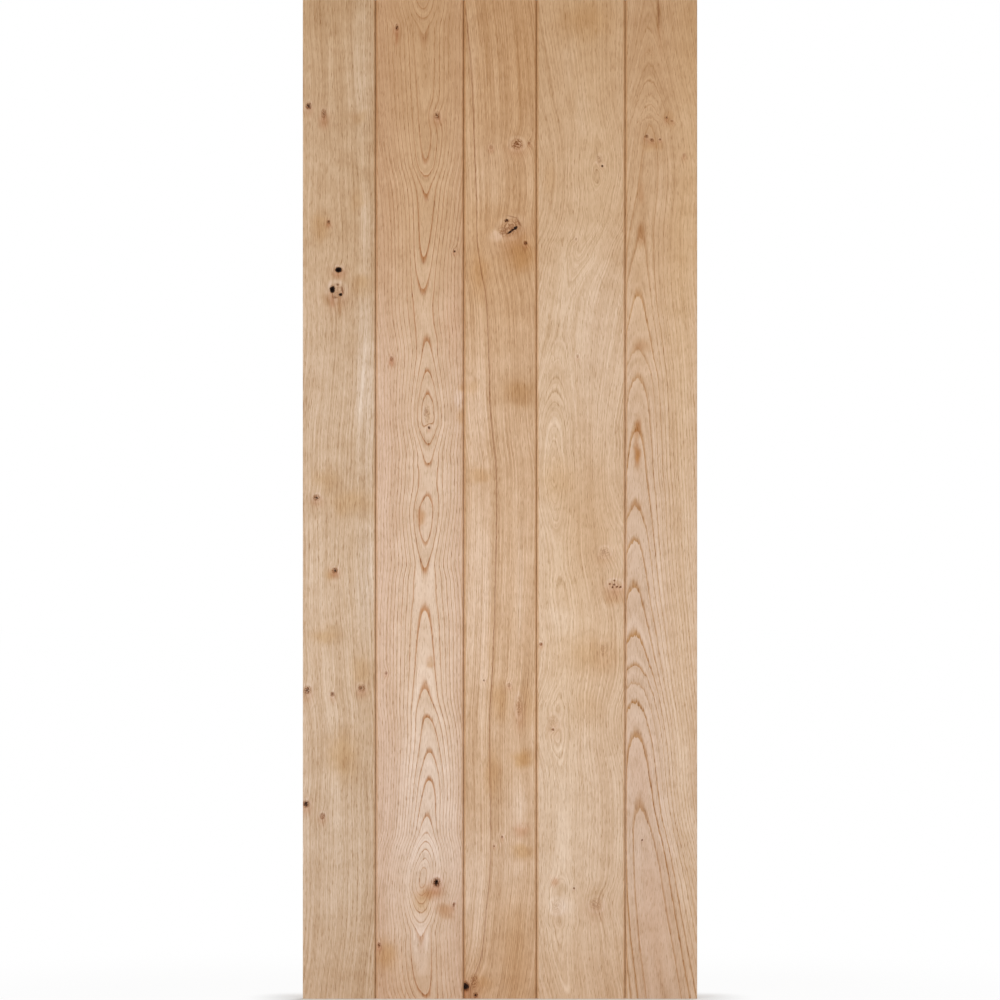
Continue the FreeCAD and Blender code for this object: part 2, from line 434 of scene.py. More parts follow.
class KnotTurn(ShaderGroup):
    """A knot: the rings swell round a coiled brown body with a black core, in a pale rim and a stain.

    Pairs of values are where a smooth step starts and ends, in squares of the knot's own size.
    """

    title = "Knot"
    carried = ("Rings", "Core", "Body", "Halo", "Rim")
    effects = ("Turn", "Coil", "Pale", "Swell", "Dark", "Brown", "Stain")
    takes = dict.fromkeys(("Position", "Centre", "Size"), SocketKind.POINT)
    takes |= numbers("Mottle", "Swirl", *carried, *effects)
    gives = numbers(*carried)
    body_grit = 2.4
    body_fade = (2.2, 0.2)
    swirl_reach = 16.0
    coil_grit = 6.0
    coil_turns = 7.0
    coil_skew = 2.6
    coil_gap = (0.3, -0.5)
    rim_rise = (1.0, 2.4)
    rim_fall = (5.5, 2.6)
    core_grit = 2.6
    core_fade = (0.1, -0.5)
    core_reach = (1.5, 0.7)
    least_dark = 0.01
    bulge_fall = -0.09
    stain_drop = 1.3
    stain_height = 0.42
    stain_width = 0.46

    @classmethod
    def wire(cls, graph: Graph, given: dict[str, Socket]) -> dict[str, Socket]:
        """Measures how many knot sizes away a point is, and adds this knot to the ones before it.

        Args:
            graph: The group's tree.
            given: The group's inputs by name.

        Returns:
            The rings and the knots' masks, with this knot added.
        """
        offset = graph.vector("SUBTRACT", given["Position"], given["Centre"])
        turned = {"Vector": offset, "Angle": given["Turn"]}
        own = graph.add("ShaderNodeVectorRotate", turned, rotation_type="Y_AXIS").outputs[0]
        across, _, up = graph.parts(graph.vector("DIVIDE", own, given["Size"]))
        square = graph.squares(across, up)
        grit = graph.minus(given["Mottle"], 0.5)

        body = graph.smooth(graph.slope(grit, cls.body_grit, square), *cls.body_fade)
        twist = graph.plus(graph.swing(given["Swirl"], cls.swirl_reach), graph.times(grit, cls.coil_grit))
        turns = graph.slope(graph.math("SQRT", square), cls.coil_turns, twist)
        turns = graph.slope(graph.minus(across, up), cls.coil_skew, turns)
        gaps = graph.times(graph.smooth(graph.math("SINE", turns), *cls.coil_gap), given["Coil"])
        brown = graph.times(graph.times(body, given["Brown"]), graph.minus(1.0, gaps))

        ring = graph.times(graph.smooth(square, *cls.rim_rise), graph.smooth(square, *cls.rim_fall))
        light = graph.math("MAXIMUM", ring, graph.times(gaps, body))
        pale = graph.times(light, given["Pale"])

        ragged = graph.slope(grit, cls.core_grit, square)
        black = graph.smooth(graph.minus(ragged, given["Dark"]), *cls.core_fade)
        black = graph.times(black, graph.smooth(square, *cls.core_reach))
        core = graph.times(black, graph.math("GREATER_THAN", given["Dark"], cls.least_dark))

        bulge = graph.math("EXPONENT", graph.times(square, cls.bulge_fall))
        lower = graph.times(graph.plus(up, cls.stain_drop), cls.stain_height)
        spread = graph.squares(lower, graph.times(across, cls.stain_width))
        fade = graph.math("EXPONENT", graph.times(spread, -1.0))
        return {
            "Rings": graph.slope(bulge, given["Swell"], given["Rings"]),
            "Core": graph.math("MAXIMUM", core, given["Core"]),
            "Body": graph.math("MAXIMUM", brown, given["Body"]),
            "Halo": graph.math("MAXIMUM", graph.times(fade, given["Stain"]), given["Halo"]),
            "Rim": graph.math("MAXIMUM", pale, given["Rim"]),
        }


class SoftStain(ShaderGroup):
    """A soft-edged patch where the wood's colour is multiplied by a tint."""

    title = "Stain"
    takes = dict.fromkeys(("Position", "Centre", "Size"), SocketKind.POINT)
    takes |= dict.fromkeys(("Colour", "Tint"), SocketKind.COLOUR) | numbers("Strength")
    gives = {"Colour": SocketKind.COLOUR}
    plateau = 1.4
    fall = -0.8

    @classmethod
    def wire(cls, graph: Graph, given: dict[str, Socket]) -> dict[str, Socket]:
        """Fades the tint out from the patch's centre.

        Args:
            graph: The group's tree.
            given: The group's inputs by name.

        Returns:
            The colour with the patch laid over it.
        """
        offset = graph.vector("SUBTRACT", given["Position"], given["Centre"])
        across, _, up = graph.parts(graph.vector("DIVIDE", offset, given["Size"]))
        spread = graph.math("POWER", graph.squares(across, up), cls.plateau)
        fade = graph.math("EXPONENT", graph.times(spread, cls.fall))
        share = graph.times(fade, given["Strength"])
        return {"Colour": graph.mix(share, given["Colour"], given["Tint"], "MULTIPLY")}


class OakSurface(ShaderGroup):
    """Colours sawn oak from its ring count, and gives the shine and relief of the planed face.

    Sizes are those of noise in millimetres, and a fade or an edge is where a smooth step starts and ends.
    """

    title = "Oak surface"
    knot_masks = ("Core", "Body", "Halo", "Rim")
    line_looks = ("Flank start", "Pitch", "Seed", "Line", "Reach", "Vary", "Flank line")
    shades = ("Thread", "Streak", "Fibre", "Cloud")
    takes = {"Position": SocketKind.POINT} | numbers("Rings", "Flank", *knot_masks, *line_looks, *shades)
    takes |= dict.fromkeys(("Heart", "Flank tone", "Line tone"), SocketKind.COLOUR)
    gives = {"Colour": SocketKind.COLOUR} | numbers("Roughness", "Height")
    thread_sizes = (2.0, 12.0, 240.0)
    streak_sizes = (15.0, 40.0, 900.0)
    cloud_sizes = (42.0, 42.0, 34.0)
    fibre_sizes = (1.7, 1.7, 14.0)
    pore_sizes = (1.5, 1.5, 12.0)
    pore_edge = (0.62, 0.74)
    flank_fade = (0.4, 1.6)
    heart_reach = 0.75
    flank_reach = 0.4
    line_edge = 0.12
    line_breaks = (0.25, 0.7, 1.1, 0.8)
    pore_shade = 0.12
    pore_line_shade = 0.30
    green_power = 1.45
    blue_power = 2.05
    dullness = 0.52
    fibre_dullness = 0.2
    pore_dullness = 0.10
    pore_relief = 0.8
    bark_tint: Colour = (0.42, 0.24, 0.14, 1.0)
    core_tone = screen(34, 18, 9)

    @classmethod
    def wire(cls, graph: Graph, given: dict[str, Socket]) -> dict[str, Socket]:
        """Lays ring lines, threads, streaks, fibres and pores over the two base tones, then the knots.

        Args:
            graph: The group's tree.
            given: The group's inputs by name.

        Returns:
            The surface's colour, roughness and height.
        """
        position = given["Position"]
        _, y, z = graph.parts(position)
        along = graph.point(graph.times(given["Rings"], given["Pitch"]), y, z)
        thread = graph.noise(along, cls.thread_sizes)
        streak = graph.noise(along, cls.streak_sizes)
        cloud = graph.noise(position, cls.cloud_sizes)
        fibre = graph.noise(position, cls.fibre_sizes)
        pore = graph.smooth(graph.noise(position, cls.pore_sizes, 0.0), *cls.pore_edge)
        flank = graph.smooth(graph.over(given["Flank"], given["Flank start"]), *cls.flank_fade)

        inside = graph.math("FRACT", given["Rings"])
        ring = graph.plus(graph.math("FLOOR", given["Rings"]), given["Seed"])
        chance = graph.add("ShaderNodeTexWhiteNoise", {"W": ring}, noise_dimensions="1D").outputs["Value"]
        weight = graph.slope(graph.minus(chance, 1.0), given["Vary"], 1.0)
        reach = graph.times(given["Reach"], graph.slope(flank, cls.flank_reach, cls.heart_reach))
        edge = graph.times(reach, cls.line_edge)
        line = graph.times(graph.smooth(inside, reach, edge), graph.smooth(inside, 0.0, edge))
        line = graph.times(line, weight)
        line = graph.times(line, graph.smooth(fibre, *cls.line_breaks))
        fading = graph.slope(graph.minus(given["Flank line"], 1.0), flank, 1.0)
        line = graph.times(graph.times(line, fading), given["Line"])

        base = graph.mix(flank, given["Heart"], given["Flank tone"])
        tone = graph.mix(line, base, given["Line tone"])
        shade = graph.plus(graph.swing(thread, given["Thread"]), graph.swing(streak, given["Streak"]))
        shade = graph.plus(shade, graph.swing(fibre, given["Fibre"]))
        shade = graph.plus(shade, graph.swing(cloud, given["Cloud"]))
        pitted = graph.times(pore, graph.slope(line, cls.pore_line_shade, cls.pore_shade))
        shade = graph.minus(graph.plus(1.0, shade), pitted)
        green = graph.math("POWER", shade, cls.green_power)
        blue = graph.math("POWER", shade, cls.blue_power)
        wood = graph.mix(1.0, tone, graph.point(shade, green, blue), "MULTIPLY")

        stained = graph.mix(given["Halo"], wood, Tint.RUST.value, "MULTIPLY")
        rimmed = graph.mix(given["Rim"], stained, Tint.PALE.value, "MULTIPLY")
        bark = graph.mix(given["Body"], rimmed, cls.bark_tint, "MULTIPLY")
        colour = graph.mix(given["Core"], bark, cls.core_tone)

        dull = graph.slope(pore, cls.pore_dullness, cls.dullness)
        rough = graph.plus(graph.swing(fibre, cls.fibre_dullness), dull)
        relief = graph.minus(fibre, graph.times(pore, cls.pore_relief))
        return {"Colour": colour, "Roughness": rough, "Height": relief}


class PaintedShadeAndTone(ShaderGroup):
    """Darkens and warms the wood's colour towards the head and the foot of the leaf, partly as painted
    shade and partly as the oak's deeper tone, and paints shade along its joints.

    The stops are shares of the leaf's height. The groove's painted shade is full within its half width, and
    gone where it is softest, both in millimetres from the joint's middle.
    """

    title = "PaintedShadeAndTone"
    takes = {"Position": SocketKind.POINT, "Colour": SocketKind.COLOUR}
    gives = {"Colour": SocketKind.COLOUR}
    # Painted shade and tone: the stops darken and warm the wood towards the head and the foot, partly for
    # light that falls off there and partly for the oak's deeper tone.
    stops: tuple[tuple[float, Colour], ...] = (
        (0.0, (0.93, 0.895, 0.86, 1.0)),
        (0.15, (0.996, 1.013, 1.045, 1.0)),
        (0.35, (1.015, 1.02, 1.03, 1.0)),
        (0.60, (0.98, 0.97, 0.96, 1.0)),
        (0.80, (0.885, 0.82, 0.725, 1.0)),
        (1.0, (0.80, 0.70, 0.565, 1.0)),
    )
    # Painted shade in the V-grooves of the joints.
    groove_shade_tint: Colour = (0.93, 0.84, 0.72, 1.0)
    groove_shade_half = 1.8
    groove_shade_soft = 5.5

    @classmethod
    def wire(cls, graph: Graph, given: dict[str, Socket]) -> dict[str, Socket]:
        """Multiplies the colour by painted shade and tone for the height, and by painted shade near the
        joints.

        Args:
            graph: The group's tree.
            given: The group's inputs by name.

        Returns:
            The deepened colour.
        """
        x, _, z = graph.parts(given["Position"])
        tone = graph.ramp(graph.over(z, LEAF_HEIGHT), cls.stops)
        height_shaded = graph.mix(1.0, given["Colour"], tone, "MULTIPLY")
        gap: Value = LEAF_WIDTH
        for joint in JOINTS:
            gap = graph.math("MINIMUM", gap, graph.math("ABSOLUTE", graph.minus(x, joint)))
        # Painted shade: the colour darkens down in each joint's groove.
        near = graph.smooth(gap, cls.groove_shade_soft, cls.groove_shade_half)
        return {"Colour": graph.mix(near, height_shaded, cls.groove_shade_tint, "MULTIPLY")}


@dataclass(frozen=True)
class Knot:
    """A knot, by its place in the photograph, its half sizes and swell in millimetres and its effects.

    The turn tips its right end up, in degrees. The coil is how far its brown is broken into rings, and
    the pale is how light its rim and the gaps of its coil are.
    """

    column: float
    row: float
    width: float
    height: float
    swell: float = 5.0
    dark: float = 0.4
    brown: float = 0.9
    stain: float = 0.5
    turn: float = 0.0
    coil: float = 0.5
    pale: float = 0.45


def mark(column: float, row: float, width: float, height: float, **effects: float) -> Knot:
    """A mark in or by a knot, which neither swells the rings nor stains the wood round it."""
    return Knot(column, row, width, height, swell=0.0, stain=0.0, **effects)


@dataclass(frozen=True)
class Stain:
    """A soft patch of another tone, by its place in the photograph and its half sizes in millimetres."""

    column: float
    row: float
    width: float
    height: float
    tint: Tint
    strength: float


@dataclass(frozen=True)
class Pit:
    """An open hole in a knot, by its place in the photograph and its sizes in millimetres."""

    column: float
    row: float
    width: float
    height: float
    depth: float


@dataclass(frozen=True)
class OakTone:
    """The tones of one board: by its heart, on its flanks and in its ring lines."""

    heart: Colour
    flank: Colour
    line: Colour


@dataclass(frozen=True)
class OakFigure:
    """How one timber was sawn, and so how its grain shows.

    The crown is the line along which the rings turn over. The depth counts the rings there, the edge
    counts them a span away from it, and a wide bow makes blunt arches. The bold is how strongly the
    ring lines show. Each of the five is a run of pairs: a photograph row, then a column, a count, a
    length or a share.

    The sway and the curl bend the grain and the feather roughens its arches, in millimetres. The pitch
    is the width of a ring and the reach is the share of it that its line takes. The flank starts that far
    from the crown. The line, which varies from ring to ring, the flank_line, the thread, the streak, the
    fibre and the cloud are strengths.
    """

    tone: OakTone
    crown: Pairs
    edge: Pairs
    span: float
    depth: Pairs = ((0, 0), (PHOTO_SIDE, 0))
    bow: Pairs = ((0, 1), (PHOTO_SIDE, 1))
    bold: Pairs = ((0, 1), (PHOTO_SIDE, 1))
    sway: float = 12.0
    curl: float = 0.0
    feather: float = 4.0
    flank_start: float = 40.0
    pitch: float = 8.0
    seed: float = 0.0
    line: float = 0.6
    reach: float = 0.38
    vary: float = 0.6
    flank_line: float = 1.0
    thread: float = 0.42
    streak: float = 0.28
    fibre: float = 0.32
    cloud: float = 0.22
    knots: tuple[Knot, ...] = ()
    stains: tuple[Stain, ...] = ()
    pits: tuple[Pit, ...] = ()


@dataclass(frozen=True)
class OakFinish:
    """Planed oak with no varnish, as a material for one timber.

    The ragged and the drift are how far noise moves the outlines of knots and of stains, in millimetres,
    and their grains are how fine that noise is, per millimetre.
    """

    name: str
    figure: OakFigure
    run: GrainRun = GrainRun.UPRIGHT
    ragged: tuple[float, float, float] = (2.4, 2.4, 2.4)
    ragged_grain: float = 0.22
    drift: tuple[float, float, float] = (14.0, 0.0, 36.0)
    drift_grain: float = 0.03
    mottle_sizes: tuple[float, float, float] = (1.9, 1.9, 2.4)
    swirl_sizes: tuple[float, float, float] = (6.0, 6.0, 7.0)
    relief: float = 0.22
    gloss: float = 0.12

    def material(self) -> bpy.types.Material:
        """Builds the material.

        Returns:
            The material, which reads the piece's own Object coordinates.
        """
        material = bpy.data.materials.new(self.name)
        material.use_nodes = True
        material.node_tree.nodes.clear()
        graph = Graph(material.node_tree)
        surface = self.surface(graph, self.position(graph))
        bump = graph.add("ShaderNodeBump", {"Height": surface["Height"], "Distance": self.relief * MM})
        sockets = {
            "Base Color": surface["Colour"],
            "Roughness": surface["Roughness"],
            "Specular IOR Level": self.gloss,
            "Normal": bump.outputs["Normal"],
        }
        shader = graph.add("ShaderNodeBsdfPrincipled", sockets)
        graph.add("ShaderNodeOutputMaterial", {"Surface": shader.outputs[0]})
        return material

    def position(self, graph: Graph) -> Socket:
        """Turns the place on the timber so that the grain runs along Z.

        Args:
            graph: The material's tree.

        Returns:
            The turned place in millimetres.
        """
        place = graph.add("ShaderNodeTexCoord").outputs["Object"]
        turn = (0.0, math.radians(self.run.value), 0.0)
        sockets = {"Vector": place, "Rotation": turn, "Scale": (1 / MM,) * 3}
        return graph.add("ShaderNodeMapping", sockets).outputs[0]

    def along(self, graph: Graph, height: Socket, pairs: Pairs) -> Socket:
        """A run of pairs by the photograph's rows, as a curve up the timber."""
        return graph.curve(height, [(photo_z(row), value) for row, value in pairs])

    def surface(self, graph: Graph, position: Socket) -> dict[str, Socket]:
        """Chains the rings, the knots and the stains of the figure.

        Args:
            graph: The material's tree.
            position: The place on the timber.

        Returns:
            The surface's colour, roughness and height.
        """
        figure = self.figure
        feathered = FeatheredHeight.place(graph, {"Position": position, "Feather": figure.feather})
        height = feathered["Height"]
        crown = tuple((row, photo_x(column)) for row, column in figure.crown)
        growth = {
            "Position": position,
            "Crown": self.along(graph, height, crown),
            "Depth": self.along(graph, height, figure.depth),
            "Edge": self.along(graph, height, figure.edge),
            "Bow": self.along(graph, height, figure.bow),
            "Span": figure.span,
            "Sway": figure.sway,
            "Curl": figure.curl,
        }
        wood = GrowthRings.place(graph, growth)
        wood |= self.knots(graph, position, wood["Rings"])
        looks = {
            "Position": position,
            "Heart": figure.tone.heart,
            "Flank tone": figure.tone.flank,
            "Line tone": figure.tone.line,
            "Flank start": figure.flank_start,
            "Pitch": figure.pitch,
            "Seed": figure.seed,
            "Line": graph.times(self.along(graph, height, figure.bold), figure.line),
            "Reach": figure.reach,
            "Vary": figure.vary,
            "Flank line": figure.flank_line,
            "Thread": figure.thread,
            "Streak": figure.streak,
            "Fibre": figure.fibre,
            "Cloud": figure.cloud,
        }
        surface = OakSurface.place(graph, wood | looks)
        colour = self.stains(graph, position, surface["Colour"])
        # The boards get painted shade towards the head, the foot and the joints, with some deeper tone at
        # the head and the foot.
        if self.run is GrainRun.UPRIGHT:
            colour = PaintedShadeAndTone.place(graph, {"Position": position, "Colour": colour})["Colour"]
        return surface | {"Colour": colour}

    def moved(self, graph: Graph, position: Socket, grain: float, reach: Sequence[float]) -> Socket:
        """A place moved about by noise, so that what is drawn there gets an uneven outline.

        Args:
            graph: The material's tree.
            position: The place on the timber.
            grain: How fine the noise is, per millimetre.
            reach: How far it moves the place along each axis.

        Returns:
            The moved place.
        """
        cloud = graph.add("ShaderNodeTexNoise", {"Vector": position, "Scale": grain, "Detail": 2.0})
        shift = graph.vector("SUBTRACT", cloud.outputs["Color"], (0.5, 0.5, 0.5))
        return graph.vector("ADD", position, graph.vector("MULTIPLY", shift, reach))

    def knots(self, graph: Graph, position: Socket, rings: Socket) -> dict[str, Value]:
        """Adds each knot of the figure to the rings, with a ragged outline.

        Args:
            graph: The material's tree.
            position: The place on the timber.
            rings: The ring count without knots.

        Returns:
            The ring count and the knots' masks by name.
        """
        rough = self.moved(graph, position, self.ragged_grain, self.ragged)
        mottle = graph.noise(position, self.mottle_sizes)
        swirl = graph.noise(position, self.swirl_sizes, 1.0)
        state: dict[str, Value] = {"Rings": rings, "Core": 0.0, "Body": 0.0, "Halo": 0.0, "Rim": 0.0}
        for knot in self.figure.knots:
            own = {
                "Position": rough,
                "Mottle": mottle,
                "Swirl": swirl,
                "Centre": (photo_x(knot.column), 0.0, photo_z(knot.row)),
                "Size": (knot.width, 1.0, knot.height),
                "Turn": math.radians(knot.turn),
                "Coil": knot.coil,
                "Pale": knot.pale,
                "Swell": knot.swell / self.figure.pitch,
                "Dark": knot.dark,
                "Brown": knot.brown,
                "Stain": knot.stain,
            }
            state = KnotTurn.place(graph, state | own)
        return state

    def stains(self, graph: Graph, position: Socket, colour: Socket) -> Socket:
        """Lays each stain of the figure over the colour.

        Args:
            graph: The material's tree.
            position: The place on the timber.
            colour: The wood's colour without stains.

        Returns:
            The stained colour.
        """
        drifted = self.moved(graph, position, self.drift_grain, self.drift)
        for stain in self.figure.stains:
            own = {
                "Position": drifted,
                "Colour": colour,
                "Tint": stain.tint.value,
                "Centre": (photo_x(stain.column), 0.0, photo_z(stain.row)),
                "Size": (stain.width, 1.0, stain.height),
                "Strength": stain.strength,
            }
            colour = SoftStain.place(graph, own)["Colour"]
        return colour


HINGE_BOARD = OakFigure(
    tone=OakTone(screen(210, 181, 153), screen(207, 178, 149), screen(184, 146, 108)),
    crown=((0, 230), (300, 236), (500, 228), (800, 236), (1000, 226)),
    edge=((0, 31), (1000, 31)),
    span=280.0,
    pitch=9.0,
    sway=26.0,
    curl=0.6,
    line=0.36,
    flank_line=2.0,
    flank_start=180.0,
    thread=0.54,
    streak=0.34,
    fibre=0.36,
    cloud=0.30,
    knots=(
        Knot(308.6, 106, 5.2, 6.5, dark=0.5, brown=1.0, coil=0.7),
        Knot(324, 114, 4.4, 8.0, dark=0.1, brown=0.75, stain=0.8, coil=0.7),
        Knot(328.6, 222, 2.8, 3.4, dark=0.25, stain=0.9, pale=0.2),
        Knot(338.4, 269.8, 6.2, 5.0, dark=1.6, stain=1.0, coil=0.0, pale=0.9),
        Knot(336.6, 291, 11.0, 11.0, swell=9.0, dark=0.0, brown=0.15, stain=0.5, coil=1.0, pale=0.8),
        mark(332.4, 289.4, 5.0, 6.6, dark=1.3, coil=0.3),
        mark(340.6, 294.4, 3.8, 3.2, dark=1.0, turn=30.0),
        mark(342.4, 290.0, 2.0, 6.5, dark=0.1, brown=0.8, turn=15.0, pale=0.2),
        mark(334.8, 297.4, 4.4, 2.2, dark=0.1, brown=0.8, pale=0.2),
        mark(337.4, 284.6, 2.8, 2.4, dark=0.1, brown=0.8, pale=0.2),
        Knot(316.6, 497.5, 5.8, 5.2, dark=0.3, brown=0.85, stain=0.6, coil=0.8),
        Knot(334.8, 570.4, 4.6, 4.6, dark=0.4, stain=1.0, coil=0.6),
        Knot(307.4, 690, 6.0, 7.0, dark=0.25, brown=0.95, coil=0.8),
        Knot(332.4, 694, 3.2, 4.2, dark=0.2, brown=1.0, coil=0.5),
        Knot(361.6, 688, 6.0, 6.0, dark=0.1, brown=0.75, stain=0.6, coil=0.9),
        Knot(306, 804, 5.2, 6.2, dark=0.5, brown=1.0, stain=0.7),
        Knot(322.4, 816, 4.0, 5.2, dark=0.0, brown=0.9, coil=0.5),
    ),
    stains=(
        Stain(364, 58, 23, 130, Tint.PALE, 1.25),
        Stain(335, 90, 60, 160, Tint.PALE, 0.15),
        Stain(359, 118, 16, 10, Tint.AMBER, 0.45),
        Stain(358, 200, 14, 16, Tint.AMBER, 0.4),
        Stain(321, 227, 17, 23, Tint.AMBER, 0.6),
        Stain(367, 225, 13, 64, Tint.PALE, 0.9),
        Stain(327, 299, 9, 12, Tint.BROWN, 0.5),
        Stain(331.5, 301, 4, 16, Tint.RUST, 0.6),
        Stain(339, 305, 4, 20, Tint.BROWN, 0.7),
        Stain(362, 284, 17, 19, Tint.AMBER, 0.6),
        Stain(366, 375, 17, 170, Tint.PALE, 0.95),
        Stain(325, 480, 27, 23, Tint.AMBER, 0.5),
        Stain(350, 503, 43, 25, Tint.AMBER, 0.6),
        Stain(366, 575, 14, 105, Tint.PALE, 0.9),
        Stain(330, 574, 9, 12, Tint.AMBER, 0.7),
        Stain(325, 635, 27, 17, Tint.AMBER, 0.6),
        Stain(361, 672, 19, 31, Tint.AMBER, 0.55),
        Stain(343, 756, 29, 48, Tint.AMBER, 0.7),
    ),
    pits=(
        Pit(338.4, 269.8, 10.0, 7.6, 5.0),
        Pit(332.4, 289.4, 7.4, 9.6, 4.5),
        Pit(340.6, 294.4, 4.6, 4.6, 3.0),
    ),
)

INNER_HINGE_BOARD = OakFigure(
    tone=OakTone(screen(220, 191, 165), screen(216, 184, 159), screen(178, 118, 66)),
    crown=(
        (0, 423), (190, 426), (290, 423), (345, 427), (463, 428), (520, 426), (612, 425), (690, 425),
        (753, 429), (817, 427), (878, 424), (932, 421), (1000, 427),
    ),
    depth=(
        (0, 1.5), (8, 2), (18, 3), (33, 4), (100, 4.5), (158, 5), (175, 6), (193, 7), (256, 8),
        (288, 9), (315, 9.4), (342, 9), (372, 8), (395, 7), (418, 6.4), (430, 7), (443, 8), (463, 9),
        (480, 9.4), (497, 9), (520, 8.6), (541, 9), (567, 10), (590, 10.3), (612, 10), (690, 9),
        (718, 8), (753, 7), (781, 6), (817, 5), (834, 4), (842, 3), (850, 2), (859, 1), (868, 0),
        (878, -0.5), (888, 0), (895, 1), (903, 2), (912, 3), (922, 4), (935, 5), (970, 5.4), (994, 6),
        (1000, 6.3),
    ),
    edge=(
        (0, 14), (100, 15), (200, 18), (300, 20), (560, 21), (640, 20), (817, 20), (850, 18), (905, 17),
        (935, 17), (1000, 16),
    ),
    bow=(
        (0, 18), (100, 30), (193, 18), (256, 18), (315, 42), (360, 18), (450, 18), (480, 42), (520, 30),
        (560, 18), (590, 60), (640, 52), (700, 42), (753, 40), (817, 26), (850, 14), (878, 12),
        (905, 18), (935, 26), (970, 40), (1000, 34),
    ),
    bold=((0, 0.55), (100, 0.6), (170, 0.8), (256, 1), (820, 1), (850, 0.8), (910, 0.7), (1000, 0.9)),
    span=92.0,
    pitch=5.0,
    sway=4.0,
    feather=5.0,
    line=1.0,
    vary=0.4,
    flank_line=0.32,
    flank_start=62.0,
    thread=0.37,
    streak=0.20,
    fibre=0.25,
    knots=(
        Knot(396.8, 27.5, 3.0, 5.5, dark=0.3, stain=0.6),
        Knot(437.4, 115.6, 5.0, 6.6, dark=0.2, brown=0.8, coil=0.6),
        Knot(454.4, 251.4, 2.4, 2.6, dark=0.4),
        Knot(391.6, 359, 3.0, 4.4, dark=0.0, brown=0.7, stain=0.9, pale=0.2),
        mark(427, 414, 5.0, 14.0, dark=0.0, brown=0.5, coil=0.7, pale=0.3),
        Knot(429, 427.6, 2.2, 2.8, dark=0.8, coil=0.0),
        Knot(386, 673, 2.2, 3.2, dark=0.1, brown=0.7, pale=0.2),
        Knot(436.6, 882.4, 6.5, 8.2, dark=0.6, brown=1.0, stain=0.8, coil=0.3),
        Knot(454, 904.4, 2.4, 4.4, dark=0.3, turn=-15.0),
        Knot(379, 945, 2.8, 4.4, dark=0.2, stain=0.7),
    ),
    stains=(
        Stain(420, 100, 140, 480, Tint.AMBER, 0.42),
        Stain(396.5, 39, 3, 17, Tint.RUST, 0.6),
        Stain(450, 327, 20, 65, Tint.ROSE, 0.5),
        Stain(460, 398, 9, 15, Tint.PALE, 0.8),
        Stain(462, 387, 7, 9, Tint.AMBER, 0.6),
        Stain(461, 416, 9, 11, Tint.AMBER, 0.6),
        Stain(428, 415, 7, 22, Tint.AMBER, 0.5),
        Stain(420.5, 518, 8, 16, Tint.RESIN, 0.7),
        Stain(431, 661, 7, 8, Tint.RESIN, 0.55),
        Stain(424, 815, 60, 150, Tint.PALE, 0.45),
        Stain(429, 892, 20, 15, Tint.RESIN, 0.75),
        Stain(421, 902, 18, 24, Tint.AMBER, 0.7),
        Stain(445, 911, 17, 13, Tint.RESIN, 0.65),
        Stain(386, 955, 18, 30, Tint.AMBER, 0.9),
        Stain(392, 985, 50, 50, Tint.AMBER, 0.2),
        Stain(420, 947, 15, 45, Tint.PALE, 0.7),
    ),
    pits=(Pit(436.6, 882.4, 6.6, 9.6, 5.0),),
)

